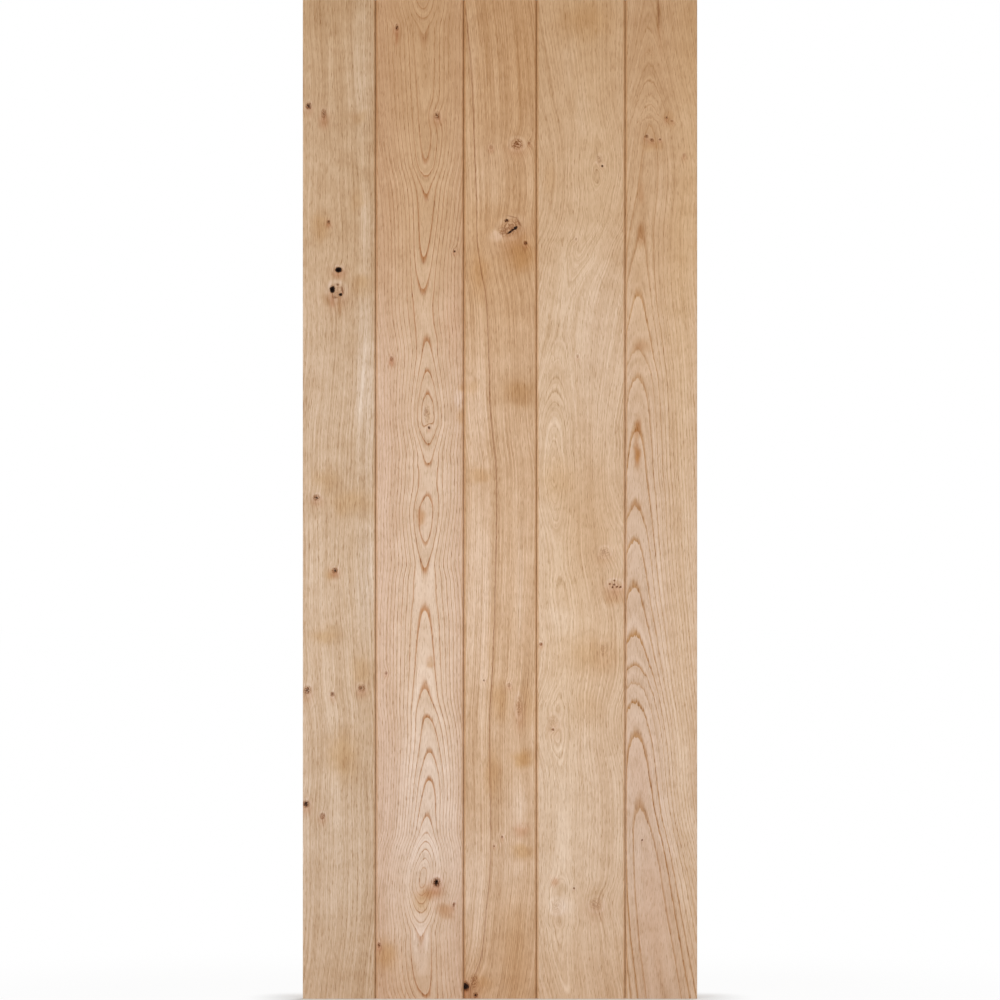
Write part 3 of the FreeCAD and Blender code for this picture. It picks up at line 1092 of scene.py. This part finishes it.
CENTRE_BOARD = OakFigure(
    tone=OakTone(screen(210, 174, 140), screen(210, 174, 140), screen(150, 96, 56)),
    crown=(
        (0, 391.5), (30, 395), (80, 399), (180, 403), (230, 405), (268, 408), (306, 414), (352, 416),
        (400, 417), (440, 420), (490, 424), (670, 420), (740, 417), (840, 418), (910, 414), (976, 407),
        (1000, 402),
    ),
    edge=((0, 1), (1000, 1)),
    span=139.0,
    sway=3.0,
    curl=1.5,
    feather=2.0,
    pitch=139.0,
    line=0.7,
    reach=0.026,
    vary=0.0,
    thread=0.74,
    streak=0.36,
    fibre=0.38,
    knots=(
        Knot(491, 147, 3.0, 3.6, dark=0.0, brown=0.4, pale=0.6),
        Knot(517, 144, 9.0, 8.0, swell=12.0, dark=0.0, brown=0.9, stain=0.4, coil=1.0, pale=1.0),
        Knot(529, 143, 2.2, 2.4, dark=0.0, brown=0.7),
        Knot(
            510, 228, 17.0, 12.0, swell=12.0, dark=0.0, brown=0.55, stain=0.4, turn=30.0,
            coil=1.0, pale=0.8,
        ),
        mark(506.6, 220.6, 4.4, 3.0, dark=0.6, coil=0.0),
        mark(511.4, 231, 11.5, 2.4, dark=0.8, turn=35.0, coil=0.0),
        mark(515.4, 228, 4.6, 2.8, dark=1.2, turn=35.0, coil=0.0),
        mark(519, 222.6, 7.0, 1.8, dark=0.0, brown=0.7, turn=-60.0, coil=0.0),
        mark(512.4, 216.8, 9.0, 1.4, dark=0.0, brown=0.5, turn=-14.0, coil=0.0, pale=0.3),
        mark(503, 232, 6.4, 4.0, dark=0.0, brown=0.6, turn=20.0, coil=1.0, pale=0.9),
        Knot(525.5, 243, 3.4, 4.0, dark=0.35, stain=0.6, coil=0.0),
        Knot(484, 680.4, 1.8, 2.2, dark=0.3, brown=0.6, stain=0.2),
        Knot(509, 685, 3.4, 3.4, dark=0.0, brown=0.5),
        Knot(519, 706, 5.0, 14.0, swell=4.0, dark=0.0, brown=0.3, coil=1.0, pale=0.9),
        Knot(502, 837, 2.0, 2.4, dark=0.1, brown=0.7),
        Knot(494, 846, 1.8, 2.2, dark=0.1, brown=0.6),
        Knot(465.6, 986.4, 7.0, 8.6, dark=0.8, brown=1.0, stain=0.9, coil=0.2),
        Knot(474.4, 982, 7.0, 12.0, swell=9.0, dark=0.0, brown=0.5, stain=0.4, coil=1.0),
        Knot(475.4, 995, 4.2, 4.8, dark=0.4, brown=1.0, stain=0.8),
    ),
    stains=(
        Stain(487.5, 65, 1.6, 130, Tint.BROWN, 0.35),
        Stain(514, 185, 1.6, 66, Tint.BROWN, 0.4),
        Stain(500, 265, 80, 150, Tint.AMBER, 0.25),
        Stain(472, 45, 11, 85, Tint.PALE, 0.6),
        Stain(522, 70, 24, 115, Tint.AMBER, 0.25),
        Stain(490, 178, 36, 60, Tint.PALE, 0.7),
        Stain(496, 237, 12, 9, Tint.PALE, 1.6),
        Stain(493, 246, 21, 17, Tint.PALE, 0.5),
        Stain(521, 255, 27, 27, Tint.AMBER, 0.85),
        Stain(479, 273, 17, 42, Tint.AMBER, 0.6),
        Stain(519, 392, 36, 27, Tint.BROWN, 0.9),
        Stain(472, 388, 13, 14, Tint.AMBER, 0.4),
        Stain(478, 420, 17, 110, Tint.PALE, 0.7),
        Stain(480, 475, 22, 14, Tint.AMBER, 0.6),
        Stain(479, 600, 24, 190, Tint.PALE, 0.95),
        Stain(520, 585, 5, 110, Tint.PALE, 0.8),
        Stain(493, 640, 9, 95, Tint.AMBER, 0.25),
        Stain(500, 700, 17, 36, Tint.AMBER, 0.6),
        Stain(527, 706, 19, 40, Tint.AMBER, 0.4),
        Stain(523, 760, 19, 19, Tint.AMBER, 0.9),
        Stain(493, 773, 15, 44, Tint.AMBER, 0.6),
        Stain(517, 805, 19, 38, Tint.PALE, 0.7),
        Stain(522, 830, 15, 13, Tint.RUST, 0.65),
        Stain(522, 851, 19, 15, Tint.AMBER, 0.75),
        Stain(474, 893, 20, 115, Tint.PALE, 1.2),
        Stain(508, 862, 34, 70, Tint.PALE, 0.4),
        Stain(516, 955, 26, 105, Tint.AMBER, 0.42),
        Stain(480, 983, 22, 18, Tint.AMBER, 0.7),
    ),
    pits=(Pit(465.6, 986.4, 7.0, 11.0, 5.0), Pit(512.8, 229.6, 5.0, 4.0, 2.5)),
)

# The columns and rows of the small dark specks in one knot of the inner latch board.
SPECKS = (
    (609.8, 584.0), (612.6, 587.2), (614.5, 580.5), (614.2, 584.6), (616.8, 586.8), (620.4, 587.0),
)

INNER_LATCH_BOARD = OakFigure(
    tone=OakTone(screen(221, 191, 161), screen(218, 187, 157), screen(188, 147, 108)),
    crown=(
        (0, 585), (100, 592), (160, 598), (250, 580), (345, 560), (470, 554), (540, 557), (590, 562),
        (650, 566), (720, 557), (800, 564), (880, 561), (906, 558), (1000, 568),
    ),
    depth=(
        (0, 3), (100, 4), (150, 2.5), (166, 1.5), (190, 3), (250, 5), (330, 9), (345, 8.6), (430, 2.8),
        (455, 1.2), (470, 0.5), (490, 1.3), (520, 3), (560, 4.6), (600, 3.4), (650, 4), (700, 2.6),
        (720, 0.6), (745, 2), (800, 4), (870, 3.6), (906, 0.8), (930, 2.5), (1000, 4.5),
    ),
    edge=((0, 13), (300, 17), (430, 16), (600, 14), (1000, 13)),
    bow=(
        (0, 10), (150, 8), (300, 14), (345, 26), (430, 20), (470, 8), (520, 12), (600, 10), (720, 8),
        (800, 14), (906, 8), (1000, 14),
    ),
    span=75.0,
    pitch=5.0,
    sway=9.0,
    curl=3.0,
    feather=6.0,
    line=0.36,
    thread=0.50,
    streak=0.22,
    fibre=0.28,
    cloud=0.20,
    knots=(
        Knot(599.6, 159, 4.0, 6.0, swell=9.0, dark=0.0, brown=0.35, stain=0.2, coil=1.0),
        Knot(602.4, 166, 2.0, 2.2, dark=0.6, stain=0.2, coil=0.0),
        Knot(576, 239, 2.2, 2.6, dark=0.0, brown=0.5, stain=0.2),
        Knot(577.6, 356, 2.0, 3.0, dark=0.0, brown=0.6, stain=0.3),
        Knot(604, 490, 10.0, 46.0, swell=16.0, dark=0.0, brown=0.0, stain=0.0, pale=0.0),
        Knot(605, 552, 8.0, 7.0, dark=0.0, brown=0.3, stain=0.3, coil=1.0),
        Knot(615, 584.5, 10.0, 6.5, dark=0.0, brown=0.1, stain=0.6, coil=1.0, pale=0.6),
        *(
            mark(column, row, 1.9, 2.0, dark=0.4, coil=0.0, pale=0.4)
            for column, row in SPECKS
        ),
        Knot(541, 644, 2.6, 3.0, dark=0.2, stain=0.6, coil=0.0),
        Knot(604, 649, 8.0, 11.0, swell=5.0, dark=0.0, brown=0.15, stain=0.2, coil=1.0, pale=0.3),
        Knot(554, 721, 7.0, 9.0, swell=10.0, dark=0.0, brown=0.15, stain=0.3, coil=1.0, pale=0.3),
        Knot(553, 729.6, 1.9, 2.2, dark=0.2, stain=0.2, coil=0.0),
        Knot(574, 888.4, 1.9, 2.1, dark=0.6, stain=0.2, coil=0.0),
        Knot(557, 906, 8.0, 10.0, swell=9.0, dark=0.0, brown=0.15, stain=0.1, coil=1.0, pale=0.5),
        Knot(596, 904, 10.0, 9.0, swell=9.0, dark=0.0, brown=0.25, stain=0.3, coil=1.0, pale=0.5),
    ),
    stains=(
        Stain(586, 20, 48, 34, Tint.AMBER, 0.5),
        Stain(568, 60, 10, 45, Tint.PALE, 0.4),
        Stain(582, 105, 10, 45, Tint.PALE, 0.4),
        Stain(550, 180, 13, 32, Tint.AMBER, 0.3),
        Stain(588, 290, 58, 140, Tint.PALE, 0.44),
        Stain(578, 400, 3, 75, Tint.BROWN, 0.3),
        Stain(556, 480, 32, 44, Tint.AMBER, 0.4),
        Stain(590, 510, 52, 110, Tint.AMBER, 0.28),
        Stain(582, 605, 75, 190, Tint.AMBER, 0.25),
        Stain(613, 597, 17, 13, Tint.RESIN, 0.4),
        Stain(560, 620, 28, 26, Tint.PALE, 0.4),
        Stain(596, 655, 48, 36, Tint.AMBER, 0.45),
        Stain(587, 707, 25, 32, Tint.AMBER, 0.25),
        Stain(554, 721, 11, 14, Tint.BROWN, 0.35),
        Stain(555, 883, 8, 10, Tint.RUST, 0.75),
        Stain(594, 900, 20, 17, Tint.BROWN, 0.42),
        Stain(566, 907, 17, 13, Tint.PALE, 0.4),
    ),
)

LATCH_BOARD = OakFigure(
    tone=OakTone(screen(215, 185, 160), screen(217, 186, 156), screen(172, 118, 52)),
    crown=(
        (0, 648), (130, 650), (240, 641), (300, 638), (380, 638), (600, 634), (735, 636), (810, 640),
        (850, 645), (900, 650), (986, 662), (1000, 664),
    ),
    depth=(
        (0, 23), (30, 22), (52, 21), (66, 20), (82, 19), (95, 18), (106, 17), (118, 16), (128, 15),
        (240, 14), (297, 13), (351, 12), (380, 11), (432, 10), (508, 9), (542, 8), (588, 7), (636, 6),
        (666, 5), (684, 4), (704, 3), (737, 2), (811, 1), (830, 0.7), (850, 0.5), (900, 0.35),
        (986, 0.2), (1000, 0.2),
    ),
    edge=(
        (0, 42), (60, 38), (128, 33), (240, 28), (351, 24.5), (508, 21), (590, 19), (680, 16.5),
        (740, 14.5), (811, 14), (900, 10), (1000, 8),
    ),
    bow=(
        (0, 38), (128, 32), (180, 51), (240, 50), (297, 46), (351, 80), (400, 64), (466, 56), (508, 90),
        (542, 60), (588, 60), (636, 95), (666, 95), (690, 70), (740, 90), (811, 115), (1000, 102),
    ),
    bold=(
        (0, 0.4), (130, 0.5), (240, 0.6), (330, 0.85), (500, 1), (700, 1), (745, 0.85), (811, 1.15),
        (1000, 1.15),
    ),
    span=110.0,
    pitch=5.0,
    sway=4.0,
    feather=20.0,
    line=0.95,
    vary=0.5,
    flank_line=0.5,
    flank_start=58.0,
    thread=0.40,
    streak=0.20,
    fibre=0.28,
    knots=(
        Knot(658.4, 10, 1.5, 30, swell=0.0, dark=0.0, brown=0.45, stain=0.2, turn=2.5, coil=0.0, pale=0.0),
        Knot(646.6, 136.5, 3.4, 3.0, swell=0.0, dark=0.25, brown=0.8, coil=0.6, pale=0.7),
        Knot(652, 140, 4.0, 2.6, swell=0.0, dark=0.2, brown=0.8, stain=0.6, turn=-30.0, coil=0.6, pale=0.7),
        Knot(660, 139.5, 2.4, 2.0, swell=0.0, dark=0.1, brown=0.8, pale=0.7),
        Knot(666.6, 117.5, 2.4, 2.8, dark=0.2, brown=0.8),
        Knot(672, 121, 2.6, 2.0, dark=0.0, brown=0.6),
        Knot(684, 155, 2.4, 3.4, dark=0.0, brown=0.35, pale=0.2),
        Knot(642, 840, 1.7, 1.9, swell=0.0, dark=0.5, stain=0.2, coil=0.0),
    ),
    stains=(
        Stain(660, 210, 95, 480, Tint.GOLD, 0.7),
        Stain(660, 40, 70, 130, Tint.AMBER, 0.14),
        Stain(658, 14, 4, 38, Tint.BROWN, 0.6),
        Stain(670, 119, 11, 11, Tint.AMBER, 0.5),
        Stain(653, 145, 19, 12, Tint.AMBER, 0.5),
        Stain(641, 195, 6, 24, Tint.RESIN, 0.4),
        Stain(641, 234, 6, 20, Tint.RESIN, 0.5),
        Stain(660, 193, 15, 60, Tint.PALE, 0.2),
        Stain(640, 320, 24, 190, Tint.AMBER, 0.14),
        Stain(642, 345, 17, 11, Tint.RESIN, 0.35),
        Stain(638, 430, 6, 22, Tint.RESIN, 0.7),
        Stain(637, 455, 6, 22, Tint.RESIN, 1.0),
        Stain(637, 506, 11, 9, Tint.RESIN, 0.3),
        Stain(640, 775, 26, 80, Tint.ROSE, 0.5),
        Stain(654, 905, 34, 130, Tint.ROSE, 0.5),
        Stain(664, 930, 76, 130, Tint.BROWN, 0.32),
    ),
)

BOARDS = {
    "hinge_board": HINGE_BOARD,
    "inner_hinge_board": INNER_HINGE_BOARD,
    "centre_board": CENTRE_BOARD,
    "inner_latch_board": INNER_LATCH_BOARD,
    "latch_board": LATCH_BOARD,
}

BACK_TONE = OakTone(screen(213, 181, 150), screen(208, 173, 140), screen(182, 134, 90))


def plain_sawn(crown: Pairs, depth: Pairs, seed: float) -> OakFigure:
    """The figure of a timber on the back.

    Args:
        crown: Where its rings turn over.
        depth: How many rings it counts there.
        seed: What makes its ring lines differ from those of the other timbers.

    Returns:
        The figure of plain-sawn oak.
    """
    return OakFigure(
        tone=BACK_TONE,
        crown=crown,
        depth=depth,
        edge=((0, 15), (PHOTO_SIDE, 15)),
        bow=((0, 18), (PHOTO_SIDE, 18)),
        span=80.0,
        pitch=6.0,
        line=0.8,
        flank_line=0.6,
        seed=seed,
    )


def level_figure(middle: float) -> OakFigure:
    """A ledge's figure.

    Args:
        middle: The height of the ledge's middle line.

    Returns:
        The figure, with its crown along that line.
    """
    crown = column_at(-middle)
    wander = ((0, crown + 6), (400, crown - 5), (700, crown + 4), (PHOTO_SIDE, crown - 3))
    depth = ((0, 1), (150, 6), (400, 3), (640, 7), (820, 2), (PHOTO_SIDE, 8))
    return plain_sawn(wander, depth, middle)


def sloping_figure(across: float, up: float) -> OakFigure:
    """A brace's figure.

    Args:
        across: Where the middle of the brace lies across the leaf.
        up: Where it lies up the leaf.

    Returns:
        The figure, with its crown along the brace.
    """
    turn = math.radians(GrainRun.SLOPING.value)
    crown = column_at(across * math.cos(turn) + up * math.sin(turn))
    wander = ((0, crown - 7), (300, crown + 6), (650, crown - 4), (PHOTO_SIDE, crown + 5))
    depth = ((0, 9), (200, 2), (420, 8), (600, 3), (800, 9), (PHOTO_SIDE, 1))
    return plain_sawn(wander, depth, up)


PELLET = OakFigure(
    tone=OakTone(screen(204, 168, 134), screen(204, 168, 134), screen(172, 126, 84)),
    crown=((0, -200), (PHOTO_SIDE, -200)),
    edge=((0, 100), (PHOTO_SIDE, 100)),
    span=310.0,
    pitch=3.0,
    sway=30.0,
    line=0.5,
)


def merged_copy(node: str) -> bmesh.types.BMesh:
    """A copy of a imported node's mesh with its triangles merged into flat faces.

    Args:
        node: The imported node's name.

    Returns:
        A new bmesh in the part's frame, in metres.
    """
    shape = bmesh.new()
    shape.from_mesh(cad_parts[node].data)
    bmesh.ops.remove_doubles(shape, verts=shape.verts[:], dist=0.01 * MM)
    flat = math.radians(0.5)
    bmesh.ops.dissolve_limit(shape, angle_limit=flat, verts=shape.verts[:], edges=shape.edges[:])
    return shape


def ease(
    shape: bmesh.types.BMesh, edges: list[bmesh.types.BMEdge], width: float, clamp: bool = False
) -> None:
    """Rounds edges of a bmesh.

    Args:
        shape: The bmesh that has the edges.
        edges: The edges to round.
        width: How far the rounding reaches from them, in millimetres.
        clamp: Whether the rounding stops where it would overlap.
    """
    bmesh.ops.bevel(
        shape,
        geom=edges,
        offset=width * MM,
        segments=2,
        profile=0.5,
        affect="EDGES",
        material=-1,
        clamp_overlap=clamp,
    )


def add_object(name: str, shape: bmesh.types.BMesh, material: bpy.types.Material) -> bpy.types.Object:
    """Makes an object of a bmesh with one material.

    Args:
        name: The object's name.
        shape: Its mesh, which is freed.
        material: Its material.

    Returns:
        The new object.
    """
    mesh = bpy.data.meshes.new(name)
    shape.to_mesh(mesh)
    shape.free()
    mesh.materials.append(material)
    piece = bpy.data.objects.new(name, mesh)
    bpy.context.scene.collection.objects.link(piece)
    return piece


def carve(piece: bpy.types.Object, hole: bmesh.types.BMesh) -> None:
    """Cuts closed shapes out of a piece's mesh for good.

    Args:
        piece: The piece to cut.
        hole: What is cut out of it, which is freed.
    """
    tool = add_object(f"{piece.name}_hole", hole, piece.data.materials[0])
    cut = piece.modifiers.new("holes", "BOOLEAN")
    cut.operation = "DIFFERENCE"
    cut.solver = "EXACT"
    cut.object = tool
    whole = piece.data
    finished = piece.evaluated_get(bpy.context.evaluated_depsgraph_get())
    piece.data = bpy.data.meshes.new_from_object(finished)
    piece.modifiers.clear()
    bpy.data.objects.remove(tool)
    bpy.data.meshes.remove(whole)


@dataclass
class BoardSide:
    """The five boards that make the leaf's face.

    The arris is in millimetres. The roughening and the lumps make the knots' open holes uneven.
    """

    figures: dict[str, OakFigure]
    arris: float = 0.35
    roughening: float = 0.45
    lumps: float = 1.7

    def build(self) -> None:
        """Makes and dresses every board."""
        for node, figure in self.figures.items():
            oak = OakFinish(f"{node}_oak", figure).material()
            piece = add_object(f"{node}_planed", self.board(node), oak)
            if figure.pits:
                carve(piece, self.pits(figure.pits))
            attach(piece, "root")
            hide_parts(node)
            LOG.info("board %s: %d faces, %d knots", node, len(piece.data.polygons), len(figure.knots))

    def board(self, node: str) -> bmesh.types.BMesh:
        """Makes a board with its long edges eased.

        Args:
            node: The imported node's name.

        Returns:
            The board's bmesh.
        """
        shape = merged_copy(node)
        long_edges = [edge for edge in shape.edges if edge.calc_length() > LEAF_HEIGHT * MM / 2]
        ease(shape, long_edges, self.arris)
        return shape

    def pits(self, pits: Sequence[Pit]) -> bmesh.types.BMesh:
        """Makes uneven rounded shapes for the open holes of a board's knots.

        Args:
            pits: The holes.

        Returns:
            One bmesh with every hole's shape.
        """
        shape = bmesh.new()
        for pit in pits:
            made = bmesh.ops.create_icosphere(shape, subdivisions=3, radius=1.0)["verts"]
            own = Vector((pit.column, 0.0, pit.row))
            for vert in made:
                vert.co *= 1.0 + self.roughening * noise.noise(vert.co * self.lumps + own)
            size = Matrix.Diagonal((pit.width / 2 * MM, pit.depth * MM, pit.height / 2 * MM, 1.0))
            at = (photo_x(pit.column) * MM, BOARD_FACE * MM, photo_z(pit.row) * MM)
            bmesh.ops.transform(shape, matrix=Matrix.Translation(at) @ size, verts=made)
        return shape


@dataclass
class BackTimber:
    """A ledge or a brace, with the oak pellets that cover its screws.

    The screws are places across and up the leaf, the plug is the pellets' material, and the sizes are in
    millimetres. Edges that turn by more than the sharp angle, in degrees, are eased.
    """

    node: str
    slot: str
    figure: OakFigure
    run: GrainRun
    screws: Pairs
    plug: bpy.types.Material
    arris: float = 0.8
    sharp: float = 20.0
    pellet_width: float = 12.0
    pellet_sides: int = 32
    pellet_arris: float = 0.4
    pellet_drop: float = 0.12
    pellet_play: float = 0.25
    hole_depth: float = 4.0
    overcut: float = 1.0

    def build(self) -> None:
        """Makes and dresses the timber and its pellets."""
        oak = OakFinish(f"{self.node}_oak", self.figure, self.run).material()
        timber = add_object(f"{self.node}_planed", self.timber(), oak)
        face = LEAF_HIGH.y / MM
        bottom = face - self.hole_depth
        radius = self.pellet_width / 2
        carve(timber, self.plugs(radius + self.pellet_play, bottom, face + self.overcut))
        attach(timber, "root")
        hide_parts(self.node)
        pellets = self.plugs(radius, bottom, face - self.pellet_drop)
        halfway = (bottom + face) / 2 * MM
        rims = [edge for edge in pellets.edges if all(vert.co.y > halfway for vert in edge.verts)]
        ease(pellets, rims, self.pellet_arris)
        joined = add_object(f"{self.node}_pellets", pellets, self.plug)
        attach(joined, "root")
        LOG.info("timber %s: %d pellets", self.node, len(self.screws))

    def timber(self) -> bmesh.types.BMesh:
        """Makes the timber with its sharp edges eased.

        Returns:
            The timber's bmesh.
        """
        shape = merged_copy(self.node)
        least = math.radians(self.sharp)
        sharp_edges = [edge for edge in shape.edges if edge.calc_face_angle(0.0) > least]
        ease(shape, sharp_edges, self.arris, clamp=True)
        return shape

    def plugs(self, radius: float, low: float, high: float) -> bmesh.types.BMesh:
        """Makes round plugs over the screws, from one depth to another.

        Args:
            radius: Each plug's radius in millimetres.
            low: The plugs' inner ends along Y.
            high: The plugs' outer ends along Y.

        Returns:
            One bmesh with every plug.
        """
        shape = bmesh.new()
        turn = Matrix.Rotation(math.pi / 2, 4, "X")
        for x, z in self.screws:
            place = Matrix.Translation((x * MM, (low + high) / 2 * MM, z * MM))
            bmesh.ops.create_cone(
                shape,
                cap_ends=True,
                segments=self.pellet_sides,
                radius1=radius * MM,
                radius2=radius * MM,
                depth=(high - low) * MM,
                matrix=place @ turn,
            )
        return shape


@dataclass
class BackSide:
    """The ledges and braces on the back of the leaf, by the heights of their middles in millimetres."""

    ledges: dict[str, float]
    braces: dict[str, float]
    joints: tuple[float, ...]
    screw_offset: float = 30.0

    def build(self) -> None:
        """Makes every ledge and brace."""
        plug = OakFinish("pellet_oak", PELLET).material()
        for node, middle in self.ledges.items():
            screws = self.ledge_screws(middle)
            BackTimber(node, "ledges", level_figure(middle), GrainRun.LEVEL, screws, plug).build()
        for node, middle in self.braces.items():
            figure = sloping_figure(LEAF_WIDTH / 2, middle)
            screws = self.brace_screws(middle)
            BackTimber(node, "braces", figure, GrainRun.SLOPING, screws, plug).build()

    def ledge_screws(self, middle: float) -> Pairs:
        """Places two screws into each board, one above and one below a ledge's middle line.

        Args:
            middle: The height of the ledge's middle line.

        Returns:
            The screws' places across and up the leaf.
        """
        edges = (0.0, *self.joints, LEAF_WIDTH)
        screws = []
        for left, right in zip(edges, edges[1:]):
            quarter = (right - left) / 4
            screws.append((left + quarter, middle + self.screw_offset))
            screws.append((right - quarter, middle - self.screw_offset))
        return tuple(screws)

    def brace_screws(self, middle: float) -> Pairs:
        """Places two screws into each inner board, along a brace's middle line.

        Args:
            middle: The height of the brace's middle.

        Returns:
            The screws' places across and up the leaf.
        """
        rise = math.tan(math.radians(BRACE_SLOPE))
        screws = []
        for left, right in zip(self.joints, self.joints[1:]):
            quarter = (right - left) / 4
            for x in (left + quarter, right - quarter):
                screws.append((x, middle + (x - LEAF_WIDTH / 2) * rise))
        return tuple(screws)


@dataclass(frozen=True)
class Lamp:
    """A square soft lamp that faces the leaf, by its place and side in metres and its power in watts."""

    name: str
    place: tuple[float, float, float]
    size: float
    power: float

    def build(self) -> None:
        """Hangs the lamp."""
        data = bpy.data.lights.new(self.name, "AREA")
        data.size = self.size
        data.energy = self.power
        lamp = bpy.data.objects.new(self.name, data)
        lamp.location = self.place
        lamp.rotation_mode = "QUATERNION"
        lamp.rotation_quaternion = (LEAF_MIDDLE - Vector(self.place)).to_track_quat("-Z", "Y")
        bpy.context.scene.collection.objects.link(lamp)


LAMPS = (
    Lamp("key", (-2.6, -4.2, 1.2), 2.6, 112.0),
    Lamp("fill", (3.4, -4.6, 0.9), 3.2, 45.0),
    Lamp("back", (1.9, 3.8, 3.2), 2.4, 125.0),
)


@dataclass
class Studio:
    """The plain floor, the soft light and the camera, with the floor's sizes in metres.

    The floor shows as white but for the leaf's shadow. Its glow rises from the first to the second of its
    shares over the shadow's reach, and by the bright gain from the near to the far end of its span.
    """

    lamps: tuple[Lamp, ...]
    lens: float = 200.0
    sensor: float = 36.0
    sight: float = 200.0
    white: Colour = (1.0, 1.0, 1.0, 1.0)
    surround: float = 0.50
    floor_tone: Colour = (0.86, 0.86, 0.86, 1.0)
    floor_reach: float = 30.0
    floor_sides: int = 96
    shadow_reach: float = 0.12
    glow_shares: tuple[float, float] = (0.05, 0.9)
    bright_span: tuple[float, float] = (0.3, 1.2)
    bright_gain: float = 1.11

    def build(self) -> None:
        """Sets everything up."""
        self.set_world()
        self.add_floor()
        for lamp in self.lamps:
            lamp.build()
        self.add_camera()
        bpy.context.scene.view_settings.view_transform = "Standard"

    def seen(self, graph: Graph) -> Socket:
        """Tells rays that look at the background from rays that carry its light.

        Args:
            graph: The tree of the background's material or world.

        Returns:
            1 for rays that come straight, by a gloss or through glass, and 0 for the others.
        """
        path = graph.add("ShaderNodeLightPath")
        straight = graph.math("MAXIMUM", path.outputs["Is Camera Ray"], path.outputs["Is Glossy Ray"])
        return graph.math("MAXIMUM", straight, path.outputs["Is Transmission Ray"])

    def set_world(self) -> None:
        """Makes an even white surround that lights softly and shows as white."""
        world = bpy.data.worlds.new("surround")
        bpy.context.scene.world = world
        world.use_nodes = True
        world.node_tree.nodes.clear()
        graph = Graph(world.node_tree)
        light = graph.add("ShaderNodeBackground", {"Color": self.white, "Strength": self.surround})
        shown = graph.add("ShaderNodeBackground", {"Color": self.white, "Strength": 1.0})
        sockets = {0: self.seen(graph), 1: light.outputs[0], 2: shown.outputs[0]}
        mixed = graph.add("ShaderNodeMixShader", sockets)
        graph.add("ShaderNodeOutputWorld", {"Surface": mixed.outputs[0]})

    def add_floor(self) -> None:
        """Lays a wide pale floor under the leaf."""
        shape = bmesh.new()
        bmesh.ops.create_circle(shape, cap_ends=True, radius=self.floor_reach, segments=self.floor_sides)
        floor = add_object("floor", shape, self.floor_material())
        floor.location.z = LEAF_LOW.z

    def floor_material(self) -> bpy.types.Material:
        """Makes a pale floor that shows the leaf's shadow and fades to white away from it.

        Returns:
            The floor's material.
        """
        material = bpy.data.materials.new("floor_white")
        material.use_nodes = True
        material.node_tree.nodes.clear()
        graph = Graph(material.node_tree)
        matt = graph.add("ShaderNodeBsdfDiffuse", {"Color": self.floor_tone})
        glow = graph.add("ShaderNodeEmission", {"Color": self.white, "Strength": 1.0})
        place = graph.add("ShaderNodeTexCoord").outputs["Object"]
        half = (LEAF_HIGH.x - LEAF_MIDDLE.x, LEAF_HIGH.y - LEAF_MIDDLE.y, 0.0)
        offset = graph.vector("SUBTRACT", place, (LEAF_MIDDLE.x, LEAF_MIDDLE.y, 0.0))
        beyond = graph.vector("SUBTRACT", graph.vector("ABSOLUTE", offset), half)
        outside = graph.vector("MAXIMUM", beyond, (0.0, 0.0, 0.0))
        gap = graph.add("ShaderNodeVectorMath", {0: outside}, operation="LENGTH").outputs["Value"]
        near = graph.smooth(gap, 0.0, self.shadow_reach, *self.glow_shares)
        bright = graph.times(near, graph.smooth(gap, *self.bright_span, 1.0, self.bright_gain))
        share = graph.times(self.seen(graph), bright)
        mixed = graph.add("ShaderNodeMixShader", {0: share, 1: matt.outputs[0], 2: glow.outputs[0]})
        graph.add("ShaderNodeOutputMaterial", {"Surface": mixed.outputs[0]})
        return material

    def add_camera(self) -> None:
        """Sets a long lens square on to the board side, with the leaf filling the frame's height."""
        data = bpy.data.cameras.new("camera")
        data.lens = self.lens
        data.sensor_width = self.sensor
        data.clip_end = self.sight
        camera = bpy.data.objects.new("camera", data)
        view_height = PHOTO_SIDE * MM_PER_PIXEL * MM
        distance = view_height * self.lens / self.sensor
        camera.location = (LEAF_MIDDLE.x, LEAF_LOW.y - distance, photo_z(PHOTO_SIDE / 2) * MM)
        camera.rotation_euler = (math.pi / 2, 0.0, 0.0)
        bpy.context.scene.collection.objects.link(camera)
        bpy.context.scene.camera = camera


def main() -> None:
    """Builds the door's dressing and the studio."""
    logging.basicConfig(level=logging.INFO, format="%(name)s: %(message)s")
    BoardSide(BOARDS).build()
    BackSide(LEDGES, BRACES, JOINTS).build()
    Studio(LAMPS).build()


if __name__ == "__main__":
    main()
